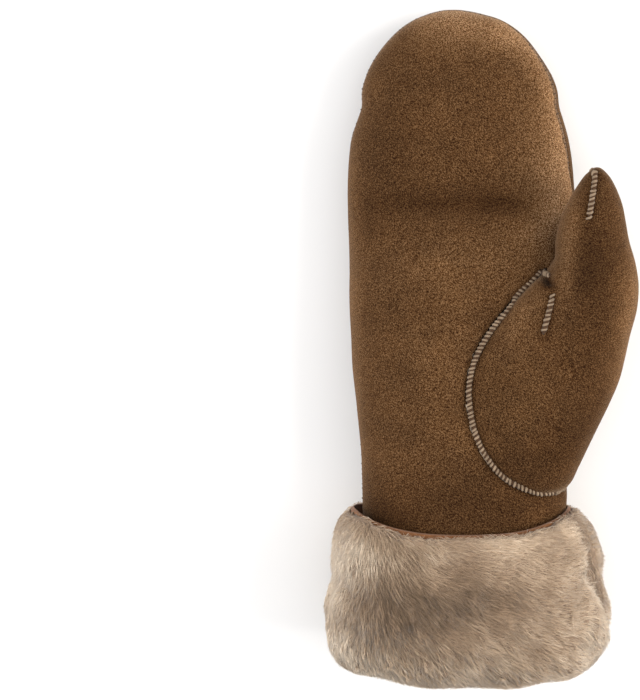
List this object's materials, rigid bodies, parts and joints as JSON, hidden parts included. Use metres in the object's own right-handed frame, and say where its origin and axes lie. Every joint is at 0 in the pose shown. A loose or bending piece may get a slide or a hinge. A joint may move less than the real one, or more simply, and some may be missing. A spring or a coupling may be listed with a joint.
{
  "type": "suede mitten",
  "caption": "Right-hand shearling mitten with suede back and palm, a gusseted thumb, and a deep wool cuff turned up at the wrist.",
  "frame": {"origin": "under the middle of the mitten's bounding box, on the surface where it lies", "axes": "+Y from the cuff to the fingertips, +X towards the thumb side, +Z out of the palm, which faces up"},
  "size_m": [0.138, 0.2942, 0.086],
  "materials": {
    "suede": "soft brushed nap, warm mid-brown",
    "cuff_edge": "bare tanned skin with a cut edge",
    "wool": "dense combed sheep's wool, taupe to cream",
    "thread": "matt sewing thread, beige"
  },
  "bodies": {
    "root": {"back_panel": "suede", "palm_panel": "suede", "thumb": "suede", "cuff_skin": "cuff_edge", "cuff_pile": "wool"}
  },
  "joints": []
}
